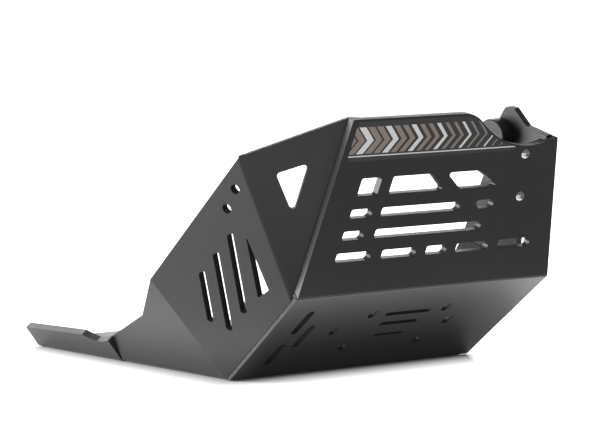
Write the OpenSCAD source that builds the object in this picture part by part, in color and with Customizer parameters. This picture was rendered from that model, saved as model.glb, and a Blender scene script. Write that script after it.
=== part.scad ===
// Motorcycle skid plate: one thick plastic sheet, cut flat, folded up and screwed to itself at the right.
// Millimetres. The front faces -Y, +X is the viewer's right and the bottom lies on Z = 0.
// The origin is the middle of the bottom's underside.

/* [Sheet] */
// Thickness of the plastic sheet
sheet_t = 8; // [6:0.5:10]
// Gap left where two flaps meet without a fold
seam_gap = 0.4; // [0.2:0.1:1]
// How far the left flaps lie behind the lower front panel's face
seam_step = 3; // [1:0.5:5]

/* [Bottom] */
// Width across the front fold
bottom_w = 316; // [296:1:336]
// Length from the front fold to the tail
bottom_l = 334; // [320:1:360]
// Angle by which the right edge runs in towards the tail
bottom_taper = 8; // [6:0.5:10]
// Diameter of the mounting holes in the tail
tail_hole_d = 9; // [7:0.5:12]
// Distance between the tail holes
tail_hole_pitch = 160; // [120:1:180]
// Distance from the tail holes to the tail's edge
tail_hole_in = 22; // [15:1:40]

/* [Lower front panel] */
// Angle between the lower front panel and the ground
lower_angle = 39; // [36:0.5:42]
// Length of the lower front panel up its slope
lower_l = 147; // [140:1:155]
// How much wider the panel is at the top, on each side
lower_flare = 7; // [4:0.5:10]
// Diameter of the holes in the lower front panel
lower_hole_d = 9; // [6:0.5:12]
// Width of the drain slots
drain_w = 8; // [5:0.5:9]

/* [Upper front panel] */
// Angle by which the upper front panel leans forwards
upper_lean = 13; // [10:0.5:16]
// Height of the panel up its slope, at the left
upper_h = 180; // [178:1:190]
// How far the left edge runs in from bottom to top
upper_left_in = 37; // [32:1:42]
// How far the right edge runs in, up to the right corner
upper_right_in = 18; // [12:1:22]
// Height of the right corner up the slope
upper_right_h = 149.5; // [147:0.5:152]
// Distance from the left edge to the air slots
slot_margin = 33; // [28:1:40]
// Height of the narrow air slots
slot_h = 9; // [6:0.5:11]
// Height of the wide air slots in the top row
slot_top_h = 17.7; // [12:0.5:20]
// Distance between the rows of air slots
slot_pitch = 22.2; // [21:0.2:24]
// Height of the lowest row's middle
slot_row_h = 39.3; // [34:0.1:44]

/* [Left side] */
// Lean of the low side panel from upright
side_lean = 26; // [22:1:30]
// Lean of the tail's lip from upright
lip_lean = 38; // [35:1:42]
// Height of the tail's lip up its slope
lip_h = 34; // [28:1:40]
// Length of the low side panel along the bottom
side_l = 181; // [165:1:190]
// Width of the slit between the low side panel and the tail's lip
slit_w = 1.5; // [1:0.1:3]
// Width of the side's air slots
vent_w = 7.8; // [6:0.1:11]
// Distance between the side's air slots
vent_pitch = 22.6; // [20:0.1:25]
// Diameter of the side's mounting holes
side_hole_d = 10.3; // [7:0.5:13]

/* [Right side] */
// Length of the narrow return from the front panel's corner to the wall
return_l = 38; // [36:1:44]
// Rise of the return's top edge
return_rise = 15; // [14:1:20]
// Height of the return
return_h = 78; // [74:1:84]
// Height of the upright wall along its front edge
wall_h = 141; // [136:0.5:146]
// Lean of the wall's front edge towards the front
wall_rake = 9.5; // [8:0.5:11]
// Lean of the wall's front edge to the inside
wall_tilt = 3; // [2:0.5:4]
// Angle by which the wall runs in towards the tail
wall_toe = 9; // [8:0.5:10]

/* [Spacer] */
// Diameter of the spacer
spacer_d = 33; // [28:0.5:36]
// Length of the spacer
spacer_l = 16.5; // [14:0.5:26]
// Diameter of the bore for the frame's bolt
spacer_bore_d = 8.5; // [6.5:0.5:10.5]
// Diameter of the spigot that is pressed into the wall
spigot_d = 20; // [15:0.5:24]

/* [Fasteners] */
// Thread diameter of the front screws
screw_d = 6; // [5:0.5:8]
// Diameter of the button heads
head_d = 10.5; // [9:0.5:14]
// Height of the button heads
head_h = 3.3; // [2:0.1:4.5]
// Distance between the two front screws
screw_pitch = 44.7; // [38:0.5:50]

/* [Sticker] */
// Thickness of the sticker
sticker_t = 0.3; // [0.2:0.05:0.6]
// Height of the sticker at the left
sticker_h = 41; // [34:1:46]

/* [Hidden] */

// Clearances and cutting allowances
fit_gap = 0.1;
thread_gap = 0.15;
screw_gap = 0.3;
bend_ease = 0.02;
over = 2;
reach = 900;
round_fn = 64;
arc_steps = 8;

// Vector helpers
function unit(v) = v / norm(v);
function mix(a, b, f) = a + (b - a) * f;

// A flat panel is [origin, along, up, inward], all on or square to its outer face
inside_point = [0, -bottom_l / 4, lower_l / 2];
function frame_of(o, along, up) =
    let (side = unit(cross(along, up)))
    [o, along, up, side * (inside_point - o) > 0 ? side : -side];
function panel(o, a, b) =
    let (along = unit(a - o), rise = (b - o) - ((b - o) * along) * along)
    frame_of(o, along, unit(rise));
function flat(f, p) = [(p - f[0]) * f[1], (p - f[0]) * f[2]];
function raised(f, p) = f[0] + p.x * f[1] + p.y * f[2];

module at(f) {
    multmatrix([
        [f[1].x, f[2].x, f[3].x, f[0].x],
        [f[1].y, f[2].y, f[3].y, f[0].y],
        [f[1].z, f[2].z, f[3].z, f[0].z],
        [0, 0, 0, 1]])
        children();
}

// Gives a flat outline the sheet's thickness, inwards from a panel's outer face
module slab(f) {
    at(f)
        linear_extrude(sheet_t)
            children();
}

// A cut right through a panel
module through(f) {
    at(f)
        translate([0, 0, -over])
            linear_extrude(sheet_t + 2 * over)
                children();
}

// Outline with each corner rounded to its own radius
function corner_arc(a, b, c, r) =
    let (steps = r < 3 ? 3 : r < 6 ? 4 : arc_steps,
         u = unit(a - b), v = unit(c - b), half = acos(u * v) / 2,
         mid = b + unit(u + v) * r / sin(half),
         p = b + u * r / tan(half) - mid, q = b + v * r / tan(half) - mid,
         start = atan2(p.y, p.x), raw = atan2(q.y, q.x) - start,
         turn = raw > 180 ? raw - 360 : raw < -180 ? raw + 360 : raw)
    [for (k = [0:steps]) mid + r * [cos(start + turn * k / steps), sin(start + turn * k / steps)]];
function soften(pts, radii) =
    [for (k = [0:len(pts) - 1])
        let (n = len(pts), r = is_list(radii) ? radii[k] : radii)
        each r > 0 ? corner_arc(pts[(k + n - 1) % n], pts[k], pts[(k + 1) % n], r) : [pts[k]]];

// Slot with round ends between two centres
module round_slot(a, b, w) {
    run = b - a;
    translate(a) circle(d = w, $fn = round_fn);
    translate(b) circle(d = w, $fn = round_fn);
    translate(a)
        rotate(atan2(run.y, run.x))
            translate([0, -w / 2])
                square([norm(run), w]);
}

// Rounds the outer corner of the fold from p to q between two panels, about the sharp inner corner.
// Its radius is a hair over the sheet's thickness, so that the round surface crosses the flat ones
module fold_cut(p, q, panel_a, panel_b) {
    axis = unit(q - p);
    bend = acos(panel_a[3] * panel_b[3]);
    set = sheet_t * tan(bend / 2);
    mid = unit(panel_a[3] + panel_b[3]);
    depth = sheet_t / cos(bend / 2);
    tangent = [set * sin(bend / 2), set * cos(bend / 2)];
    outside = tangent + over * [-cos(bend / 2), sin(bend / 2)];
    at([p - over * axis, mid, cross(axis, mid), axis])
        difference() {
            linear_extrude(norm(q - p) + 2 * over)
                polygon([
                    [depth, 0], tangent, outside, [-2 * over, 0], [outside.x, -outside.y],
                    [tangent.x, -tangent.y]]);
            translate([depth, 0, -over])
                cylinder(r = sheet_t + bend_ease, h = norm(q - p) + 4 * over, $fn = round_fn);
        }
}

// Front folds and front panels
half_w = bottom_w / 2;
lower_up = [0, -cos(lower_angle), sin(lower_angle)];
upper_up = [0, -sin(upper_lean), cos(upper_lean)];
front_mid = [0, -bottom_l / 2, 0];
front_l = front_mid - [half_w, 0, 0];
front_r = front_mid + [half_w, 0, 0];
bottom = frame_of([0, 0, 0], [1, 0, 0], [0, 1, 0]);
lower = frame_of(front_mid, [1, 0, 0], lower_up);
upper = frame_of(front_mid + lower_l * lower_up, [1, 0, 0], upper_up);
nose_w = half_w + lower_flare;
// The upper fold's middle lies a little to the right of the bottom's
nose_shift = 2.3;
function left_edge(h) = nose_shift - nose_w + upper_left_in * h / upper_h;
function right_edge(h) = nose_shift + nose_w - upper_right_in * h / upper_right_h;
nose_l = raised(upper, [left_edge(0), 0]);
nose_r = raised(upper, [right_edge(0), 0]);
top_l = raised(upper, [left_edge(upper_h), upper_h]);
crown = raised(upper, [right_edge(upper_right_h), upper_right_h]);

// Left side panels. Their seam with the front panels runs just behind the front panels' faces
side = frame_of(front_l, [0, 1, 0], [-sin(side_lean), 0, cos(side_lean)]);
lip = frame_of(front_l, [0, 1, 0], [-sin(lip_lean), 0, cos(lip_lean)]);
side_peak_at = [67, 111];
side_peak = raised(side, side_peak_at);
seam_foot = front_l + [0, seam_step / sin(lower_angle), 0];
seam_nose = nose_l + seam_step * lower[3];
cheek = panel(seam_foot, side_peak, seam_nose);
cheek_peak_at = [158.4, 202.6];
cheek_peak = raised(cheek, cheek_peak_at);
seam_top = top_l + sheet_t * upper[3];
seam_low = nose_l + sheet_t * upper[3];
// Where the upper seam crosses the cheek's plane
cross_f = ((cheek[0] - seam_low) * cheek[3]) / ((seam_top - seam_low) * cheek[3]);
fold_nose = seam_low + cross_f * (seam_top - seam_low);
corner = panel(fold_nose, cheek_peak, seam_top);

// Right side panels
return_dir = [-sin(wall_tilt), cos(wall_tilt), tan(return_rise)];
return_top = crown + return_l * return_dir;
wall_up = unit([-tan(wall_tilt), -tan(wall_rake), 1]);
wall_run = [-sin(wall_toe), cos(wall_toe), 0];
wall = frame_of(return_top, unit(wall_run - (wall_run * wall_up) * wall_up), wall_up);
wall_foot = raised(wall, [0, -wall_h]);
taper_dir = [-sin(bottom_taper), cos(bottom_taper), 0];
low_wall_foot = front_r + [0, seam_step / sin(lower_angle), 0];
low_wall = panel(low_wall_foot, low_wall_foot + taper_dir, wall_foot);
low_fold_raw = unit(cross(wall[3], low_wall[3]));
low_fold = low_fold_raw.y > 0 ? low_fold_raw : -low_fold_raw;
wall_foot_l = 73;
wall_heel = wall_foot + wall_foot_l / (low_fold * wall[1]) * low_fold;
back_wall = panel(return_top, crown, wall_foot);
tab = frame_of(upper[0] + (sheet_t + fit_gap) * upper[3], upper[1], upper[2]);
// The return and the tab share the fold where the return's plane meets the tab's front face
tab_fold_dir = unit(cross(back_wall[3], tab[3]) * (cross(back_wall[3], tab[3]).z > 0 ? 1 : -1));
tab_start = (sheet_t + fit_gap) / (return_dir * upper[3]);
tab_fold_top = crown + tab_start * return_dir;
tab_fold_low = tab_fold_top - return_h * tab_fold_dir;

// Fasteners and spacer
screw_at = [nose_w - 57, 134];
screw_spots = [screw_at, screw_at + [2, -screw_pitch]];
washer_d = 2 * screw_d;
washer_t = 1.6;
nut_af = 10 * screw_d / 6;
nut_h = screw_d;
spacer_at = [33, -14.1];
stack_t = 2 * sheet_t + fit_gap;
tail_l = bottom_l - seam_step / sin(lower_angle);

// Keeps flaps behind the upper front panel
module upper_keepout() {
    at(upper)
        translate([-reach, -reach, -reach])
            cube([2 * reach, 2 * reach, reach + sheet_t + fit_gap]);
}

// Keeps the left flaps beside and behind the lower front panel
module lower_keepout() {
    slope = (lower_flare - nose_shift) / lower_l;
    at(lower)
        translate([0, 0, -reach])
            linear_extrude(reach + sheet_t + seam_gap)
                polygon([
                    [-half_w - seam_gap + slope * reach, -reach], [reach, -reach],
                    [reach, reach], [-half_w - seam_gap - slope * reach, reach]]);
}

// Keeps the right wall's inner edge above the ground
module floor_keepout() {
    translate([-reach, -reach, -reach])
        cube([2 * reach, 2 * reach, reach]);
}

module bottom_outline() {
    tail_x = half_w - tail_l * tan(bottom_taper);
    polygon([
        [-half_w, -bottom_l / 2], [half_w, -bottom_l / 2],
        [half_w, -bottom_l / 2 + bottom_l - tail_l], [tail_x, bottom_l / 2],
        [-half_w, bottom_l / 2]]);
}

module lower_outline() {
    polygon([[-half_w, 0], [half_w, 0], [right_edge(0), lower_l], [left_edge(0), lower_l]]);
}

// Upper front panel, with its top edge dipping in an S to the right corner
hump_r = 38;
dip_r = 100;
dip_in = 54.8;
dip_x = right_edge(0) - dip_in;
dip_end = asin((dip_in - upper_right_in) / dip_r);
dip_low = upper_right_h - dip_r * (1 - cos(dip_end));
hump_y = upper_h - hump_r;
dip_y = dip_low + dip_r;
// The hump's arc meets the dip's arc without a kink when their centres lie one radius sum apart
hump_x = dip_x - sqrt(pow(hump_r + dip_r, 2) - pow(dip_y - hump_y, 2));
hump_turn = atan2(dip_y - hump_y, dip_x - hump_x);
module upper_outline() {
    hump = [for (k = [0:arc_steps])
        let (a = mix(90, hump_turn, k / arc_steps))
        [hump_x, hump_y] + hump_r * [cos(a), sin(a)]];
    dip = [for (k = [0:2 * arc_steps])
        let (a = mix(hump_turn + 180, 270 + dip_end, k / (2 * arc_steps)))
        [dip_x, dip_y] + dip_r * [cos(a), sin(a)]];
    difference() {
        polygon(concat([[left_edge(0), 0], [left_edge(upper_h), upper_h]], hump, dip, [[right_edge(0), 0]]));
        air_slots();
    }
}

// One narrow air slot from x0 to x1, its left end leaning by skew over its height
module air_slot(x0, x1, h, skew) {
    r = slot_h / 2 - 0.1;
    polygon(soften([
        [x0, h - slot_h / 2], [x1, h - slot_h / 2], [x1, h + slot_h / 2], [x0 + skew, h + slot_h / 2]],
        [2.5, r, r, 2.5]));
}

// Slots of the three narrow rows, from 0 at the left margin to 1 at the right margin. A third value
// is the lean of the left end where it isn't parallel to the panel's left edge
slot_rows = [
    [[0, 0.176], [0.2275, 0.405], [0.453, 0.563], [0.608, 0.78], [0.828, 1]],
    [[0, 0.111], [0.164, 0.727]],
    [[0.005, 0.121], [0.167, 0.595], [0.702, 0.781, -7]]];
slot_margin_r = 29.3;
module air_slots() {
    for (k = [0:len(slot_rows) - 1]) {
        h = slot_row_h + k * slot_pitch;
        x0 = left_edge(h - slot_h / 2) + slot_margin;
        x1 = right_edge(h) - slot_margin_r;
        for (s = slot_rows[k])
            air_slot(mix(x0, x1, s[0]), mix(x0, x1, s[1]), h, len(s) > 2 ? s[2] : upper_left_in / upper_h * slot_h);
    }
    top_slots();
}

// The top row: a short slot, and two whose ends follow the dip of the edge above. Each slot has its
// start and end from 0 to 1, and the leans of both ends
module top_slots() {
    low = slot_row_h + 3 * slot_pitch - 4;
    high = low + slot_top_h;
    skew = upper_left_in / upper_h * slot_top_h;
    x0 = left_edge(low) + slot_margin + 2;
    x1 = right_edge(low) - slot_margin_r;
    for (s = [[0, 0.11, skew, skew], [0.173, 0.484, skew, -19], [0.575, 0.798, -20.7, -30.3]]) {
        left = mix(x0, x1, s[0]);
        right = mix(x0, x1, s[1]);
        polygon(soften(
            [[left, low], [right, low], [right + s[3], high], [left + s[2], high]],
            [2.5, 2, 2, 2.5]));
    }
}

// Drain slots and holes of the lower front panel, measured from its middle line and bottom fold
module lower_cuts() {
    left = -half_w + 31;
    step = 18;
    mid = 9.7;
    end = drain_w / 2;
    for (s = [[left, 80, 121], [left + step, 54, 93.5], [left, 23, 62]])
        round_slot([s[0], s[1] + end], [s[0], s[2] - end], drain_w);
    for (s = [[mid - 48.7, 103.7], [mid + 48.7, 103.7], [-73, 77.5], [77, 77.5]])
        round_slot(s - [0, 2.8], s + [0, 2.8], drain_w);
    for (s = [[100.6, 30, drain_w - 2], [82.6, 25.6, drain_w - 2], [61.2, 19.5, drain_w - 4]])
        translate([mid - s[1], s[0] - s[2] / 2])
            polygon(soften([[0, 0], [2 * s[1], 0], [2 * s[1], s[2]], [0, s[2]]], s[2] / 2 - 0.2));
    for (x = [mid - 49.3, mid + 49.3])
        translate([x, 42.5])
            circle(d = lower_hole_d, $fn = round_fn);
}

// The left cheek and its vents
module cheek_outline() {
    polygon([
        [0, 0], flat(cheek, side_peak), flat(cheek, cheek_peak), flat(cheek, fold_nose),
        flat(cheek, seam_nose)]);
}
side_holes = [[137.3, 172.2], [128.6, 146.9]];
vent_angle = 36.7;
vent_mid = 16;
// Each vent: how far it lies from the middle vent in pitches, where it starts and where it ends
vents = [[-1, 61.3, 120], [0, 54.9, 142.8], [1, 76.1, 165.7]];
module cheek_cuts() {
    run = [cos(vent_angle), sin(vent_angle)];
    rise = [-sin(vent_angle), cos(vent_angle)];
    for (v = vents) {
        mid = (vent_mid + v[0] * vent_pitch) * rise;
        slant = 4;
        r = vent_w / 2 - 0.6;
        polygon(soften([
            mid + v[1] * run - vent_w / 2 * rise + slant * run, mid + v[2] * run - vent_w / 2 * rise - slant * run,
            mid + v[2] * run + vent_w / 2 * rise, mid + v[1] * run + vent_w / 2 * rise],
            [1.5, r, 1.5, r]));
    }
    polygon(soften([[96.8, 145.4], [42.1, 106.4], [41.7, 124.7]], [0.5, 1.5, 1.5]));
    for (h = side_holes)
        translate(h)
            circle(d = side_hole_d, $fn = round_fn);
}

// The narrow corner panel between cheek and upper front panel, with its three sided window
module corner_outline() {
    top = flat(corner, seam_top);
    peak = flat(corner, cheek_peak);
    tuck = 2 * sheet_t;
    level = unit([corner[1].x, corner[2].x]);
    polygon([[0, 0], peak, top, top + tuck * level, tuck * unit([-top.y, top.x])]);
}
window = [[122.4, 28.2], [120.4, 62.1], [77.7, 29.9]];
module corner_cuts() {
    polygon(soften(window, 3.5));
}

module side_outline() {
    polygon([
        flat(side, seam_foot), flat(side, side_peak), [109, 64], [side_l - 1, 31.5], [side_l, 0]]);
}

// The tail's lip, with a shallow finger dip in its edge. The dip's points are measured from the end of
// the side panel and from the lip's height
lip_dip = [[4, -5], [12, -7.5], [26, -9.5], [38, -6], [46, -2.3]];
module lip_outline() {
    polygon(soften(
        concat(
            [[side_l + slit_w, 0], [side_l + slit_w, lip_h - 5]],
            [for (p = lip_dip) p + [side_l, lip_h]],
            [[bottom_l, lip_h - 6.3], [bottom_l, 0]]),
        [0, 0, 2, 6, 6, 4, 1.5, 0, 0]));
}

module left_side() {
    difference() {
        union() {
            slab(side) side_outline();
            slab(cheek) cheek_outline();
            slab(corner) corner_outline();
        }
        fold_cut(seam_foot, side_peak, side, cheek);
        fold_cut(fold_nose, cheek_peak, cheek, corner);
        upper_keepout();
        lower_keepout();
        through(cheek) cheek_cuts();
        through(corner) corner_cuts();
    }
}

// The right wall: its ear carries the spacer, and its back edge runs down to the tail
module wall_outline() {
    heel = flat(wall, wall_heel);
    // The fold below bends outwards, so the wall reaches past it by the gap that the bend opens inside
    tuck = [0, 1.5 * sheet_t * tan(acos(wall[3] * low_wall[3]))];
    ear = soften(
        [[0, 0], [17.8, 15.1], [28.9, 15.6], [35.8, 1.8], [36.3, -18.2], [53.2, -69.5], heel - tuck, [0, -wall_h] - tuck],
        [0, 2, 7, 12, 20, 60, 0, 0]);
    difference() {
        union() {
            polygon(ear);
            translate(spacer_at)
                circle(r = spacer_d / 2 - 0.5, $fn = round_fn);
        }
        translate(spacer_at)
            circle(d = spigot_d + 2 * fit_gap, $fn = round_fn);
    }
}
module low_wall_outline() {
    heel = flat(low_wall, wall_heel);
    lip_top = lip_h - 4;
    end = tail_l / cos(bottom_taper);
    polygon([
        [0, 0], flat(low_wall, wall_foot), heel, [heel.x + 42, 0.53 * heel.y], [heel.x + 105, lip_top],
        [end - 17, lip_top], [end, lip_top - 7], [end, 0]]);
}
module return_outline() {
    fall = raised(wall, [0, -return_h]);
    polygon([for (p = [return_top, tab_fold_top, tab_fold_low, fall]) flat(back_wall, p)]);
}

// The tab behind the upper front panel that the front screws hold
module tab_outline() {
    top = flat(tab, tab_fold_top);
    low = flat(tab, tab_fold_low);
    screw = screw_spots[1];
    polygon(soften([
        low, [screw.x - 21, low.y], [screw.x - 21, screw.y + screw_pitch + 5], [screw.x + 8, screw.y + screw_pitch + 5],
        top - [0, 4]],
        [0, 8, 8, 8, 0]));
}
module right_side() {
    difference() {
        union() {
            slab(low_wall) low_wall_outline();
            slab(wall) wall_outline();
            slab(back_wall) return_outline();
            slab(tab) tab_outline();
        }
        fold_cut(raised(wall, [0, -return_h]), return_top, wall, back_wall);
        upper_keepout();
        lower_keepout();
        floor_keepout();
    }
}

module screw_holes(r) {
    for (s = screw_spots)
        at(upper)
            translate([s.x, s.y, -over])
                cylinder(r = r, h = stack_t + 2 * over, $fn = round_fn);
}

module skid_plate() {
    bottom_right = front_r + [0, bottom_l - tail_l, 0];
    side_end = front_l + [0, side_l + slit_w / 2, 0];
    color("#2b2a2c")
        difference() {
            union() {
                slab(bottom) bottom_outline();
                slab(lower) lower_outline();
                slab(upper) upper_outline();
                slab(lip) lip_outline();
                left_side();
                right_side();
            }
            fold_cut(front_l, front_r, bottom, lower);
            fold_cut(nose_l, nose_r, lower, upper);
            fold_cut(seam_foot, side_end - [0, over, 0], bottom, side);
            fold_cut(side_end + [0, over, 0], front_l + [0, bottom_l, 0], bottom, lip);
            fold_cut(bottom_right, bottom_right + tail_l / cos(bottom_taper) * taper_dir, bottom, low_wall);
            through(lower) lower_cuts();
            screw_holes(screw_d / 2 + screw_gap);
            for (x = [-tail_hole_pitch / 2, tail_hole_pitch / 2])
                translate([x - 23, bottom_l / 2 - tail_hole_in, -over])
                    cylinder(d = tail_hole_d, h = sheet_t + 2 * over, $fn = round_fn);
        }
}

// Thin film on the upper front panel, cut along the dip a little inside the edge
sticker_in = 2;
sticker_margin = 7;
sticker_end = 93;
module front_sticker() {
    low = upper_h - sticker_h;
    left = left_edge(low) + sticker_margin;
    top = upper_h - sticker_in;
    tip = dip_low - sticker_in;
    r_hump = hump_r - sticker_in;
    r_dip = dip_r + sticker_in;
    tip_turn = asin((sticker_end - dip_x) / r_dip);
    hump = [for (k = [0:arc_steps])
        let (a = mix(90, hump_turn, k / arc_steps))
        [hump_x, hump_y] + r_hump * [cos(a), sin(a)]];
    dip = [for (k = [0:arc_steps])
        let (a = mix(hump_turn + 180, 270 + tip_turn, k / arc_steps))
        [dip_x, dip_y] + r_dip * [cos(a), sin(a)]];
    color("#151314")
        at(upper)
            translate([0, 0, -sticker_t])
                linear_extrude(sticker_t)
                    polygon(concat([[left, low - 1.5], [left + upper_left_in / upper_h * sticker_h, top]],
                                   hump, dip, [[sticker_end - 8, tip - 1.8]]));
}

// Frame of the spacer: Z runs inwards from the wall's outer face
module at_spacer() {
    at(wall)
        translate([spacer_at.x, spacer_at.y, 0])
            children();
}
module mount_spacer() {
    color("#252525")
        at_spacer()
            difference() {
                union() {
                    cylinder(d = spigot_d, h = sheet_t + 1, $fn = round_fn);
                    translate([0, 0, sheet_t])
                        cylinder(d = spacer_d, h = spacer_l - 1, $fn = round_fn);
                    translate([0, 0, sheet_t + spacer_l - 1])
                        cylinder(d1 = spacer_d, d2 = spacer_d - 2, h = 1, $fn = round_fn);
                }
                translate([0, 0, -over])
                    cylinder(d = spacer_bore_d, h = sheet_t + spacer_l + 2 * over, $fn = round_fn);
            }
}

// Button head screws through the upper front panel and the tab
hex_af = 4;
module front_screws() {
    dome_r = (head_d * head_d / 4 + head_h * head_h) / (2 * head_h);
    color("#c9c9cc")
        for (s = screw_spots)
            at(upper)
                translate([s.x, s.y, 0])
                    difference() {
                        union() {
                            intersection() {
                                translate([0, 0, dome_r - head_h])
                                    sphere(r = dome_r, $fn = round_fn);
                                translate([0, 0, -head_h])
                                    cylinder(d = head_d, h = head_h, $fn = round_fn);
                            }
                            translate([0, 0, -0.5])
                                cylinder(d = screw_d, h = stack_t + washer_t + nut_h + 1.5, $fn = round_fn);
                        }
                        translate([0, 0, -head_h - over])
                            cylinder(d = hex_af / cos(30), h = over + 2.2, $fn = 6);
                    }
}
module front_washers() {
    color("#bdbdc0")
        for (s = screw_spots)
            at(upper)
                translate([s.x, s.y, stack_t])
                    difference() {
                        cylinder(d = washer_d, h = washer_t, $fn = round_fn);
                        translate([0, 0, -over])
                            cylinder(d = screw_d + 2 * screw_gap, h = washer_t + 2 * over, $fn = round_fn);
                    }
}
module front_nuts() {
    collar_h = 1.5;
    color("#b4b4b8")
        for (s = screw_spots)
            at(upper)
                translate([s.x, s.y, stack_t + washer_t])
                    difference() {
                        union() {
                            cylinder(d = nut_af / cos(30), h = nut_h - collar_h, $fn = 6);
                            cylinder(d = nut_af - 1, h = nut_h, $fn = round_fn);
                        }
                        translate([0, 0, -over])
                            cylinder(d = screw_d + 2 * thread_gap, h = nut_h + 2 * over, $fn = round_fn);
                    }
}

skid_plate();
front_sticker();
mount_spacer();
front_screws();
front_washers();
front_nuts();
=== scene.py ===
"""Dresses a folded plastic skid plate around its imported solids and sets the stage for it."""

import math

import bmesh
import bpy
from mathutils import Matrix, Vector


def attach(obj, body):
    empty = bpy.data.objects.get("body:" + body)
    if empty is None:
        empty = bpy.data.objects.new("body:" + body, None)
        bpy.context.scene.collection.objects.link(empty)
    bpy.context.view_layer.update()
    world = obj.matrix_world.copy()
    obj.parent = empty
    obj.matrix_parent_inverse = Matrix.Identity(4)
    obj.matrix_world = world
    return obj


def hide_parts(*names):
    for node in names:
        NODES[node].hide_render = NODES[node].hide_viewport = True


bl_info = {
    "name": "Folded skid plate",
    "version": (1, 0, 0),
    "blender": (4, 5, 0),
    "location": "View3D > Sidebar > Skid plate",
    "description": "Dresses a folded plastic skid plate and sets its stage",
    "category": "Object",
}

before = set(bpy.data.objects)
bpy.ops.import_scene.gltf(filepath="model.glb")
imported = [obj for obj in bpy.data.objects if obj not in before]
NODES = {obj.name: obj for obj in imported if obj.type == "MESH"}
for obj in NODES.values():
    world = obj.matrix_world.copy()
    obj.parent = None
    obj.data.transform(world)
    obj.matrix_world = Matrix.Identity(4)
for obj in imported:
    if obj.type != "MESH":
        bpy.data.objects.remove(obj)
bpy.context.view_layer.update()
MM = 0.001

# Where the upper front panel stands: the middle of its lower fold, and how far it leans forwards
PANEL_FOOT = (0.0, -0.28124, 0.09251)
PANEL_LEAN = math.radians(13)

# The film's print, in metres on that panel: the heights of the thin line, of the field of chevrons and of
# the chevrons' tips, where the first bar starts, and the run along which the bars narrow
THIN_LINE = (0.1422, 0.1434)
FIELD = (0.1452, 0.1722)
CHEVRON_TIPS = 0.1585
FIRST_BAR = -0.105
NARROWING = (-0.1, 0.08)
# A bar's share of the pitch at both ends of that run, and how far a chevron slants
BAR_SHARE = (0.78, 0.12)
CHEVRON_SLANT = 0.9

# The outward normals of the sheet's flat panels, and the panels that share a fold. They tell the
# sheet's skin from its cut walls
PANELS = {
    "bottom": (0, 0, -1),
    "lower": (0, -0.6293, -0.7771),
    "upper": (0, -0.9744, -0.225),
    "side": (-0.8988, 0, -0.4384),
    "lip": (-0.788, 0, -0.6157),
    "cheek": (-0.9239, -0.2178, -0.3147),
    "corner": (-0.5163, -0.8519, -0.0877),
    "low_wall": (0.9797, 0.1377, 0.1455),
    "wall": (0.9847, 0.156, 0.0777),
    "return": (0.9976, 0.0366, 0.0584),
}
FOLDS = (
    ("bottom", "lower"), ("lower", "upper"), ("bottom", "side"), ("bottom", "lip"), ("side", "cheek"),
    ("cheek", "corner"), ("bottom", "low_wall"), ("low_wall", "wall"), ("return", "upper"),
)
# Least cosine between the normals of a face and of the panel that it lies on, and the most that a face on
# a fold's round may lean along the fold
ON_PANEL = 0.998
OFF_FOLD = 0.02
# Faces that meet at more than this have a sharp edge
SHARP = math.radians(38)


# Shader tools


def feed(tree, socket, value):
    """Links a socket to an output, or gives it a value."""
    if isinstance(value, bpy.types.NodeSocket):
        tree.links.new(value, socket)
    else:
        socket.default_value = value


def node(tree, kind, inputs=None, **settings):
    """Adds a node, with its settings and the values or links of its inputs."""
    made = tree.nodes.new(kind)
    for key, value in settings.items():
        setattr(made, key, value)
    for key, value in (inputs or {}).items():
        feed(tree, made.inputs[key], value)
    return made


def maths(tree, operation, *values, clamp=False):
    """A Math node on values or links; gives its output."""
    inputs = dict(enumerate(values))
    return node(tree, "ShaderNodeMath", inputs, operation=operation, use_clamp=clamp).outputs[0]


def blend(tree, factor, a, b):
    """Mixes two colours or links by a factor; gives the mixed colour."""
    made = node(tree, "ShaderNodeMix", data_type="RGBA")
    for place, value in ((0, factor), (6, a), (7, b)):
        feed(tree, made.inputs[place], value)
    return made.outputs[2]


def band(tree, value, low, high):
    """A mask of the values between two limits."""
    return maths(tree, "MULTIPLY", maths(tree, "GREATER_THAN", value, low),
                 maths(tree, "LESS_THAN", value, high))


def rgba(colour):
    """A colour with full alpha."""
    return (*tuple(colour)[:3], 1.0)


def group(name, inputs, outputs):
    """Starts a node group with named sockets; gives its tree, its input node and its output node."""
    tree = bpy.data.node_groups.new(name, "ShaderNodeTree")
    for label, kind, value in inputs:
        socket = tree.interface.new_socket(label, in_out="INPUT", socket_type=kind)
        if value is not None:
            socket.default_value = value
    for label, kind in outputs:
        tree.interface.new_socket(label, in_out="OUTPUT", socket_type=kind)
    return tree, tree.nodes.new("NodeGroupInput"), tree.nodes.new("NodeGroupOutput")


def use(tree, name, inputs=None):
    """Places a node group in a material."""
    made = tree.nodes.new("ShaderNodeGroup")
    made.node_tree = bpy.data.node_groups[name]
    for key, value in (inputs or {}).items():
        feed(tree, made.inputs[key], value)
    return made


def build_grain_group():
    """Fine grain of a plastic's skin, with long faint waves from the calender rolls."""
    tree, source, out = group(
        "plastic_grain",
        [("Vector", "NodeSocketVector", None), ("Grain", "NodeSocketFloat", 900.0),
         ("Waves", "NodeSocketFloat", 14.0)],
        [("Height", "NodeSocketFloat"), ("Tone", "NodeSocketFloat")])
    fine = node(tree, "ShaderNodeTexNoise", {
        "Vector": source.outputs["Vector"], "Scale": source.outputs["Grain"],
        "Detail": 3.0, "Roughness": 0.6})
    wave = node(tree, "ShaderNodeTexNoise", {
        "Vector": source.outputs["Vector"], "Scale": source.outputs["Waves"],
        "Detail": 2.0, "Roughness": 0.5})
    mixed = maths(tree, "MULTIPLY_ADD", wave.outputs["Fac"], 0.5, fine.outputs["Fac"])
    tree.links.new(mixed, out.inputs["Height"])
    tree.links.new(wave.outputs["Fac"], out.inputs["Tone"])


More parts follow.
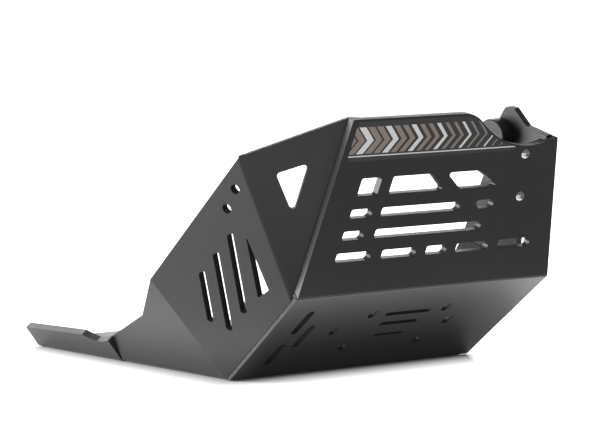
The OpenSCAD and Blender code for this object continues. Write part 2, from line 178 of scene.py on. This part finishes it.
def build_handling_group():
    """Soft smudges and a few hair scratches from handling, as a mask."""
    tree, source, out = group(
        "handling_marks",
        [("Vector", "NodeSocketVector", None), ("Smudge Size", "NodeSocketFloat", 9.0),
         ("Scratch Size", "NodeSocketFloat", 60.0)],
        [("Smudges", "NodeSocketFloat"), ("Scratches", "NodeSocketFloat")])
    cloud = node(tree, "ShaderNodeTexNoise", {
        "Vector": source.outputs["Vector"], "Scale": source.outputs["Smudge Size"],
        "Detail": 5.0, "Roughness": 0.65, "Distortion": 0.6})
    smudge = node(tree, "ShaderNodeMapRange", {
        "Value": cloud.outputs["Fac"], "From Min": 0.45, "From Max": 0.75,
        "To Min": 0.0, "To Max": 1.0})
    turned = node(tree, "ShaderNodeMapping", {
        "Vector": source.outputs["Vector"], "Rotation": (0.5, 0.35, 0.9), "Scale": (1.0, 14.0, 3.0)})
    streak = node(tree, "ShaderNodeTexNoise", {
        "Vector": turned.outputs[0], "Scale": source.outputs["Scratch Size"],
        "Detail": 2.0, "Roughness": 0.5})
    scratch = node(tree, "ShaderNodeMapRange", {
        "Value": streak.outputs["Fac"], "From Min": 0.71, "From Max": 0.78,
        "To Min": 0.0, "To Max": 1.0})
    tree.links.new(smudge.outputs["Result"], out.inputs["Smudges"])
    tree.links.new(scratch.outputs["Result"], out.inputs["Scratches"])


def build_tool_group():
    """Fine parallel lines that a cutter leaves, as a height."""
    tree, source, out = group(
        "tool_lines",
        [("Vector", "NodeSocketVector", None), ("Lines", "NodeSocketFloat", 700.0)],
        [("Height", "NodeSocketFloat")])
    wave = node(tree, "ShaderNodeTexWave", {
        "Vector": source.outputs["Vector"], "Scale": source.outputs["Lines"],
        "Distortion": 2.0, "Detail": 2.0, "Detail Scale": 1.5},
        wave_type="BANDS", bands_direction="DIAGONAL")
    tree.links.new(wave.outputs["Fac"], out.inputs["Height"])


def new_material(name):
    """A material with an empty Principled surface; gives the material, its tree and its shader."""
    made = bpy.data.materials.new(name)
    made.use_nodes = True
    tree = made.node_tree
    shader = tree.nodes["Principled BSDF"]
    return made, tree, shader


def object_place(tree):
    """The piece's own coordinates, in metres."""
    return node(tree, "ShaderNodeTexCoord").outputs["Object"]


def bump(tree, height, strength, distance):
    return node(tree, "ShaderNodeBump", {
        "Height": height, "Strength": strength, "Distance": distance}).outputs["Normal"]


def black_sheet_material(settings):
    """Satin black polyethylene: rolled skin on the faces, cutter lines on the cut walls."""
    made, tree, shader = new_material("black_sheet")
    place = object_place(tree)
    grain = use(tree, "plastic_grain", {"Vector": place, "Grain": 900.0, "Waves": 12.0})
    marks = use(tree, "handling_marks", {"Vector": place, "Smudge Size": 8.0, "Scratch Size": 45.0})
    lines = use(tree, "tool_lines", {"Vector": place, "Lines": 650.0})
    cut = node(tree, "ShaderNodeAttribute", attribute_name="cut_wall").outputs["Fac"]

    colour = rgba(settings.colour)
    pale = rgba([c * 1.5 + 0.004 for c in settings.colour])
    tone = maths(tree, "MULTIPLY", marks.outputs["Smudges"], 0.25)
    worn = maths(tree, "MULTIPLY_ADD", marks.outputs["Scratches"], 0.25, tone)
    amount = maths(tree, "MULTIPLY_ADD", cut, 0.7, worn, clamp=True)
    tree.links.new(blend(tree, amount, colour, pale), shader.inputs["Base Color"])

    skin = maths(tree, "MULTIPLY_ADD", grain.outputs["Tone"], 0.08, settings.roughness - 0.04)
    smudged = maths(tree, "MULTIPLY_ADD", marks.outputs["Smudges"], 0.06, skin)
    scuffed = maths(tree, "MULTIPLY_ADD", marks.outputs["Scratches"], 0.08, smudged)
    tree.links.new(maths(tree, "MULTIPLY_ADD", cut, 0.10, scuffed), shader.inputs["Roughness"])

    height = maths(tree, "MULTIPLY_ADD", maths(tree, "MULTIPLY", lines.outputs[0], cut), 0.8,
                   grain.outputs["Height"])
    tree.links.new(bump(tree, height, 0.12, 0.00012), shader.inputs["Normal"])
    shader.inputs["IOR"].default_value = 1.5
    shader.inputs["Specular IOR Level"].default_value = settings.gloss
    return made


def film_material(settings):
    """Printed vinyl under clear laminate: chevrons in warm grey and white on black."""
    made, tree, shader = new_material("printed_film")
    place = object_place(tree)
    flat = node(tree, "ShaderNodeMapping", {
        "Vector": place, "Location": PANEL_FOOT, "Rotation": (PANEL_LEAN, 0, 0)},
        vector_type="TEXTURE")
    axes = node(tree, "ShaderNodeSeparateXYZ", {0: flat.outputs[0]})
    across, rise = axes.outputs["X"], axes.outputs["Z"]

    # Chevrons: a point's place along x, pushed on by its distance from the line of the tips
    off_line = maths(tree, "ABSOLUTE", maths(tree, "SUBTRACT", rise, CHEVRON_TIPS))
    along = maths(tree, "MULTIPLY_ADD", off_line, CHEVRON_SLANT, across)
    steps = maths(tree, "DIVIDE", maths(tree, "SUBTRACT", along, FIRST_BAR), settings.chevron_pitch)
    share = maths(tree, "FRACT", steps)
    thick = node(tree, "ShaderNodeMapRange", {
        "Value": across, "From Min": NARROWING[0], "From Max": NARROWING[1],
        "To Min": BAR_SHARE[0], "To Max": BAR_SHARE[1]})
    bar = maths(tree, "LESS_THAN", share, thick.outputs["Result"])
    # Every third bar is white
    beat = maths(tree, "FRACT", maths(tree, "DIVIDE", maths(tree, "FLOOR", steps), 3.0))
    is_white = maths(tree, "LESS_THAN", beat, 0.2)
    ink = blend(tree, is_white, rgba(settings.print_colour), rgba(settings.white))
    # The bars stay inside their field, and one thin line runs under it
    print_mask = maths(tree, "MULTIPLY", bar, band(tree, rise, *FIELD))
    base = blend(tree, print_mask, rgba(settings.ground), ink)
    line = band(tree, rise, *THIN_LINE)
    tree.links.new(blend(tree, line, base, rgba(settings.white)), shader.inputs["Base Color"])

    grain = use(tree, "plastic_grain", {"Vector": place, "Grain": 500.0, "Waves": 60.0})
    marks = use(tree, "handling_marks", {"Vector": place, "Smudge Size": 20.0, "Scratch Size": 60.0})
    tree.links.new(maths(tree, "MULTIPLY_ADD", marks.outputs["Smudges"], 0.12, 0.2),
                   shader.inputs["Roughness"])
    tree.links.new(bump(tree, grain.outputs["Height"], 0.05, 0.0001), shader.inputs["Normal"])
    shader.inputs["Coat Weight"].default_value = 0.5
    shader.inputs["Coat Roughness"].default_value = 0.12
    return made


def turned_plastic_material(settings):
    """Turned black plastic with rings from the lathe."""
    made, tree, shader = new_material("spacer_plastic")
    place = object_place(tree)
    grain = use(tree, "plastic_grain", {"Vector": place, "Grain": 1200.0, "Waves": 80.0})
    lines = use(tree, "tool_lines", {"Vector": place, "Lines": 900.0})
    marks = use(tree, "handling_marks", {"Vector": place, "Smudge Size": 40.0, "Scratch Size": 90.0})
    colour = blend(tree, maths(tree, "MULTIPLY", marks.outputs["Smudges"], 0.5),
                   rgba(settings.colour), rgba([c * 1.8 for c in settings.colour]))
    tree.links.new(colour, shader.inputs["Base Color"])
    tree.links.new(maths(tree, "MULTIPLY_ADD", marks.outputs["Smudges"], 0.1, 0.36),
                   shader.inputs["Roughness"])
    height = maths(tree, "MULTIPLY_ADD", lines.outputs[0], 0.6, grain.outputs["Height"])
    tree.links.new(bump(tree, height, 0.15, 0.00012), shader.inputs["Normal"])
    return made


def steel_material(settings):
    """Plain stainless steel, brushed and a little stained."""
    made, tree, shader = new_material("steel")
    place = object_place(tree)
    lines = use(tree, "tool_lines", {"Vector": place, "Lines": 1500.0})
    marks = use(tree, "handling_marks", {"Vector": place, "Smudge Size": 120.0, "Scratch Size": 260.0})
    colour = blend(tree, maths(tree, "MULTIPLY", marks.outputs["Smudges"], 0.35),
                   rgba(settings.colour), rgba([c * 0.72 for c in settings.colour]))
    tree.links.new(colour, shader.inputs["Base Color"])
    shader.inputs["Metallic"].default_value = 1.0
    tree.links.new(maths(tree, "MULTIPLY_ADD", marks.outputs["Smudges"], 0.12, 0.26),
                   shader.inputs["Roughness"])
    tree.links.new(bump(tree, lines.outputs[0], 0.08, 0.00006), shader.inputs["Normal"])
    return made


# Mesh tools


def merged_mesh(name):
    """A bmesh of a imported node, with its loose triangles joined and its flat faces made whole."""
    made = bmesh.new()
    made.from_mesh(NODES[name].data)
    bmesh.ops.remove_doubles(made, verts=made.verts, dist=2e-6)
    bmesh.ops.dissolve_limit(
        made, angle_limit=math.radians(0.3), verts=made.verts, edges=made.edges)
    return made


def break_edges(made, width, least_angle, segments=2):
    """Takes the sharpness off the edges between faces that meet at more than the least angle."""
    sharp = [e for e in made.edges
             if e.is_manifold and e.calc_face_angle() > least_angle]
    bmesh.ops.bevel(
        made, geom=sharp, offset=width, offset_type="OFFSET", segments=segments,
        profile=0.5, affect="EDGES", clamp_overlap=False, material=-1)


def finish_piece(made, name, material, replaced=()):
    """Makes the bmesh a piece that rides on the plate's one body."""
    mesh = bpy.data.meshes.new(name)
    made.to_mesh(mesh)
    made.free()
    mesh.materials.append(material)
    piece = bpy.data.objects.new(name, mesh)
    bpy.context.scene.collection.objects.link(piece)
    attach(piece, "root")
    if replaced:
        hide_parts(*replaced)
    return piece


def smooth_shading(piece, angle):
    """Smooth shading with sharp edges above an angle, weighted so that flat faces look flat."""
    for layer in ("custom_normal", "sharp_face"):
        if layer in piece.data.attributes:
            piece.data.attributes.remove(piece.data.attributes[layer])
    piece.data.shade_smooth()
    piece.data.set_sharp_from_angle(angle=angle)
    weighted = piece.modifiers.new("flat_faces", "WEIGHTED_NORMAL")
    weighted.keep_sharp = True
    weighted.weight = 80


def is_skin(normal):
    """Whether a face of this normal is the rolled skin: on a flat panel, or on the round of a fold."""
    if any(abs(normal.dot(Vector(panel))) > ON_PANEL for panel in PANELS.values()):
        return True
    for first, second in FOLDS:
        a, b = Vector(PANELS[first]), Vector(PANELS[second])
        axis = a.cross(b).normalized()
        between = a.cross(normal).dot(axis) > 0 and normal.cross(b).dot(axis) > 0
        if abs(normal.dot(axis)) < OFF_FOLD and between:
            return True
    return False


def mark_cut_walls(made):
    """Stores on each face whether the cutter made it: whether it stands across the sheet."""
    layer = made.faces.layers.float.new("cut_wall")
    for face in made.faces:
        face[layer] = 0.0 if is_skin(face.normal) else 1.0


# Settings


class SheetSettings(bpy.types.PropertyGroup):
    colour: bpy.props.FloatVectorProperty(
        name="Colour", description="Colour of the black sheet", subtype="COLOR",
        default=(0.013, 0.0125, 0.0128), min=0, max=1)
    roughness: bpy.props.FloatProperty(
        name="Roughness", description="Roughness of the rolled skin", default=0.34, min=0.1, max=0.8)
    gloss: bpy.props.FloatProperty(
        name="Gloss", description="Specular level of the skin", default=0.45, min=0, max=1)
    edge_break: bpy.props.FloatProperty(
        name="Edge break", description="How much of each cut edge is broken", default=0.5 * MM,
        min=0.1 * MM, max=1.5 * MM, unit="LENGTH")


class FilmSettings(bpy.types.PropertyGroup):
    ground: bpy.props.FloatVectorProperty(
        name="Ground", description="Colour of the film's ground", subtype="COLOR",
        default=(0.008, 0.007, 0.007), min=0, max=1)
    print_colour: bpy.props.FloatVectorProperty(
        name="Print", description="Warm grey of the printed bars", subtype="COLOR",
        default=(0.30, 0.24, 0.20), min=0, max=1)
    white: bpy.props.FloatVectorProperty(
        name="White", description="White of the printed bars", subtype="COLOR",
        default=(0.9, 0.9, 0.9), min=0, max=1)
    chevron_pitch: bpy.props.FloatProperty(
        name="Chevron pitch", description="Distance from one printed bar to the next",
        default=11 * MM, min=4 * MM, max=30 * MM, unit="LENGTH")


class SpacerSettings(bpy.types.PropertyGroup):
    colour: bpy.props.FloatVectorProperty(
        name="Colour", description="Colour of the turned spacer", subtype="COLOR",
        default=(0.02, 0.02, 0.021), min=0, max=1)


class ScrewSettings(bpy.types.PropertyGroup):
    colour: bpy.props.FloatVectorProperty(
        name="Colour", description="Colour of the steel", subtype="COLOR",
        default=(0.62, 0.62, 0.63), min=0, max=1)


class StageSettings(bpy.types.PropertyGroup):
    floor_size: bpy.props.FloatProperty(
        name="Floor size", description="Width of the floor", default=12.0, min=2, max=40,
        unit="LENGTH")
    floor_colour: bpy.props.FloatVectorProperty(
        name="Floor colour", description="Colour of the floor", subtype="COLOR",
        default=(0.8, 0.8, 0.8), min=0, max=1)
    shadow_reach: bpy.props.FloatProperty(
        name="Shadow reach", description="Distance at which the floor is white again", default=0.06,
        min=0.01, max=1, unit="LENGTH")
    ambient: bpy.props.FloatProperty(
        name="Ambient", description="Strength of the world's light", default=0.55, min=0, max=2)
    gloss_level: bpy.props.FloatProperty(
        name="Gloss level", description="Strength of the world in reflections", default=0.2, min=0, max=2)
    light_level: bpy.props.FloatProperty(
        name="Light level", description="Scales every lamp", default=1.0, min=0, max=5)


SETTINGS = {
    "skid_sheet": SheetSettings, "skid_film": FilmSettings, "skid_spacer": SpacerSettings,
    "skid_screws": ScrewSettings, "skid_stage": StageSettings,
}


# Operators


class SKID_OT_sheet(bpy.types.Operator):
    """Folded sheet with broken cut edges, in place of the plain solid"""
    bl_idname = "skid.sheet"
    bl_label = "Folded sheet"

    def execute(self, context):
        settings = context.scene.skid_sheet
        made = merged_mesh("skid_plate")
        mark_cut_walls(made)
        break_edges(made, settings.edge_break, SHARP)
        piece = finish_piece(
            made, "folded_sheet", black_sheet_material(settings), ["skid_plate"])
        smooth_shading(piece, SHARP)
        return {"FINISHED"}


class SKID_OT_film(bpy.types.Operator):
    """Printed film on the upper front panel"""
    bl_idname = "skid.film"
    bl_label = "Printed film"

    def execute(self, context):
        material = film_material(context.scene.skid_film)
        for slot in NODES["front_sticker"].material_slots:
            slot.material = material
        return {"FINISHED"}


class SKID_OT_spacer(bpy.types.Operator):
    """Turned spacer on the right wall"""
    bl_idname = "skid.spacer"
    bl_label = "Spacer"

    def execute(self, context):
        material = turned_plastic_material(context.scene.skid_spacer)
        for slot in NODES["mount_spacer"].material_slots:
            slot.material = material
        return {"FINISHED"}


class SKID_OT_fasteners(bpy.types.Operator):
    """Screws, washers and nuts"""
    bl_idname = "skid.fasteners"
    bl_label = "Fasteners"

    def execute(self, context):
        material = steel_material(context.scene.skid_screws)
        for name in ("front_screws", "front_washers", "front_nuts"):
            for slot in NODES[name].material_slots:
                slot.material = material
        return {"FINISHED"}


# Each lamp: name, place, aim, width, power in watts and colour
LAMPS = (
    ("left_back", (-2.2, 1.6, 1.0), (0, 0, 0.1), 1.6, 135.0, (0.96, 0.98, 1.0)),
    ("right_back", (2.0, 2.0, 1.2), (0, 0, 0.1), 1.4, 23.0, (1.0, 1.0, 1.0)),
    ("back", (0.0, 2.6, 1.4), (0, 0, 0.1), 1.6, 34.0, (1.0, 1.0, 1.0)),
)

# Painted reflection: how strongly the floor glows for glossy rays only, by the distance from the plate's
# footprint in metres, which paints bright and dark bands into the plate's gloss: on the left, and in
# front and on the right
PAINTED_REFLECTION_LEFT = (
    (0.0, 0.2), (0.02, 0.45), (0.055, 1.19), (0.12, 0.25), (0.23, 0.0), (0.5, 0.0), (0.8, 1.0))
PAINTED_REFLECTION_FRONT = (
    (0.0, 0.02), (0.03, 0.06), (0.07, 0.45), (0.12, 2.4), (0.17, 0.9), (0.25, 0.1), (0.45, 0.0))
# Half the footprint's size along x and y, and where the front's painted reflection gives way to the
# left's along x
FOOTPRINT = (0.158, 0.167)
LEFT_RUN = (-0.12, -0.2)
# How far the floor lies below the plate, and how far out from the footprint its shadow stays whole
FLOOR_DROP = 0.0003
SHADOW_CORE = 0.004

# The camera's place, the azimuth and the pitch that it looks along, and its lens in millimetres
CAMERA_PLACE = (-2.30024, -2.93996, 0.50692)
CAMERA_AZIMUTH = math.radians(38.838)
CAMERA_PITCH = math.radians(5.681)
CAMERA_LENS = 212.41


def camera_matrix(place, azimuth, pitch):
    """Turns a camera that looks along an azimuth, from +Y towards +X, and down by a pitch."""
    ahead = Vector((math.sin(azimuth) * math.cos(pitch), math.cos(azimuth) * math.cos(pitch),
                    -math.sin(pitch)))
    right = Vector((math.cos(azimuth), -math.sin(azimuth), 0))
    up = right.cross(ahead)
    turn = Matrix((right, up, -ahead)).transposed().to_4x4()
    return Matrix.Translation(place) @ turn


def ray_masks(tree):
    """Masks of the rays that see the backdrop plainly, from the camera or through glass, and of gloss."""
    path = node(tree, "ShaderNodeLightPath")
    plain = maths(tree, "MAXIMUM", path.outputs["Is Camera Ray"], path.outputs["Is Transmission Ray"])
    return plain, path.outputs["Is Glossy Ray"]


def profile(tree, distance, stops):
    """A value that follows stops of distance and value, in straight lines between them."""
    reach, peak = stops[-1][0], max(value for _, value in stops)
    ramp = node(tree, "ShaderNodeValToRGB", {"Fac": maths(tree, "DIVIDE", distance, reach)})
    marks = ramp.color_ramp.elements
    for _ in stops[2:]:
        marks.new(0.5)
    for mark, (place, _) in zip(marks, stops):
        mark.position = place / reach
    for mark, (_, value) in zip(marks, stops):
        mark.color = rgba([value / peak] * 3)
    return maths(tree, "MULTIPLY", ramp.outputs["Color"], peak)


class SKID_OT_stage(bpy.types.Operator):
    """Floor, backdrop, lamps and camera"""
    bl_idname = "skid.stage"
    bl_label = "Stage"

    def execute(self, context):
        scene = context.scene
        settings = scene.skid_stage
        self.add_floor(settings)
        self.add_world(scene, settings)
        for lamp in LAMPS:
            self.add_lamp(scene, settings, *lamp)
        self.add_camera(scene)
        scene.view_settings.view_transform = "Standard"
        return {"FINISHED"}

    def add_floor(self, settings):
        made = bmesh.new()
        bmesh.ops.create_grid(made, x_segments=1, y_segments=1, size=settings.floor_size / 2)
        bmesh.ops.translate(made, verts=made.verts, vec=(0, 0, -FLOOR_DROP))
        mesh = bpy.data.meshes.new("floor")
        made.to_mesh(mesh)
        made.free()
        floor = bpy.data.objects.new("floor", mesh)
        bpy.context.scene.collection.objects.link(floor)
        material, tree, shader = new_material("floor")
        shader.inputs["Base Color"].default_value = rgba(settings.floor_colour)
        shader.inputs["Roughness"].default_value = 0.35
        shader.inputs["Emission Color"].default_value = (1, 1, 1, 1)
        axes = node(tree, "ShaderNodeSeparateXYZ", {0: object_place(tree)})
        # The distance from the footprint, along x and y and then in all
        squares = []
        for axis, half in zip("XY", FOOTPRINT):
            off = maths(tree, "SUBTRACT", maths(tree, "ABSOLUTE", axes.outputs[axis]), half)
            off = maths(tree, "MAXIMUM", off, 0.0)
            squares.append(maths(tree, "MULTIPLY", off, off))
        distance = maths(tree, "SQRT", maths(tree, "ADD", *squares))
        plain, gloss = ray_masks(tree)
        # The floor turns white a little way out, so that the plate keeps its shadow
        away = node(tree, "ShaderNodeMapRange", {
            "Value": distance, "From Min": SHADOW_CORE, "From Max": settings.shadow_reach})
        on_left = node(tree, "ShaderNodeMapRange", {
            "Value": axes.outputs["X"], "From Min": LEFT_RUN[0], "From Max": LEFT_RUN[1]})
        seen = node(tree, "ShaderNodeMix", {
            0: on_left.outputs["Result"], 2: profile(tree, distance, PAINTED_REFLECTION_FRONT),
            3: profile(tree, distance, PAINTED_REFLECTION_LEFT)}, data_type="FLOAT")
        # Painted reflection: the floor glows for glossy rays only, following the two profiles, which
        # paints highlights and dark bands into the plate's gloss
        painted_reflection = maths(tree, "MULTIPLY", gloss, seen.outputs[0])
        tree.links.new(maths(tree, "MULTIPLY_ADD", plain, away.outputs["Result"], painted_reflection),
                       shader.inputs["Emission Strength"])
        mesh.materials.append(material)

    def add_world(self, scene, settings):
        world = bpy.data.worlds.new("studio")
        scene.world = world
        world.use_nodes = True
        tree = world.node_tree
        background = tree.nodes["Background"]
        background.inputs["Color"].default_value = (1, 1, 1, 1)
        plain, gloss = ray_masks(tree)
        base = node(tree, "ShaderNodeMapRange", {
            "Value": plain, "To Min": settings.ambient, "To Max": 1.0}).outputs["Result"]
        tree.links.new(maths(tree, "MULTIPLY_ADD", gloss, settings.gloss_level - settings.ambient, base),
                       background.inputs["Strength"])

    def add_lamp(self, scene, settings, name, place, aim, width, power, colour):
        data = bpy.data.lights.new(name, "AREA")
        data.shape = "SQUARE"
        data.size = width
        data.energy = power * settings.light_level
        data.color = colour
        lamp = bpy.data.objects.new(name, data)
        scene.collection.objects.link(lamp)
        lamp.location = place
        lamp.rotation_euler = (Vector(aim) - Vector(place)).to_track_quat("-Z", "Y").to_euler()

    def add_camera(self, scene):
        data = bpy.data.cameras.new("camera")
        data.sensor_width = 36
        data.lens = CAMERA_LENS
        data.clip_end = 50
        camera = bpy.data.objects.new("camera", data)
        scene.collection.objects.link(camera)
        camera.matrix_world = camera_matrix(CAMERA_PLACE, CAMERA_AZIMUTH, CAMERA_PITCH)
        scene.camera = camera


class SKID_PT_panel(bpy.types.Panel):
    """Lists the pieces of the skid plate and its stage"""
    bl_idname = "SKID_PT_panel"
    bl_label = "Skid plate"
    bl_space_type = "VIEW_3D"
    bl_region_type = "UI"
    bl_category = "Skid plate"

    def draw(self, context):
        for step in STEPS:
            self.layout.operator(step.bl_idname)
        for name, settings in SETTINGS.items():
            box = self.layout.box()
            for key in settings.__annotations__:
                box.prop(getattr(context.scene, name), key)


STEPS = (SKID_OT_stage, SKID_OT_sheet, SKID_OT_film, SKID_OT_spacer, SKID_OT_fasteners)


def register():
    for made in (*SETTINGS.values(), *STEPS, SKID_PT_panel):
        bpy.utils.register_class(made)
    for name, settings in SETTINGS.items():
        setattr(bpy.types.Scene, name, bpy.props.PointerProperty(type=settings))


def unregister():
    for name in SETTINGS:
        delattr(bpy.types.Scene, name)
    for made in reversed((*SETTINGS.values(), *STEPS, SKID_PT_panel)):
        bpy.utils.unregister_class(made)


def main():
    register()
    build_grain_group()
    build_handling_group()
    build_tool_group()
    bpy.ops.skid.stage()
    bpy.ops.skid.sheet()
    bpy.ops.skid.film()
    bpy.ops.skid.spacer()
    bpy.ops.skid.fasteners()


if __name__ == "__main__":
    main()
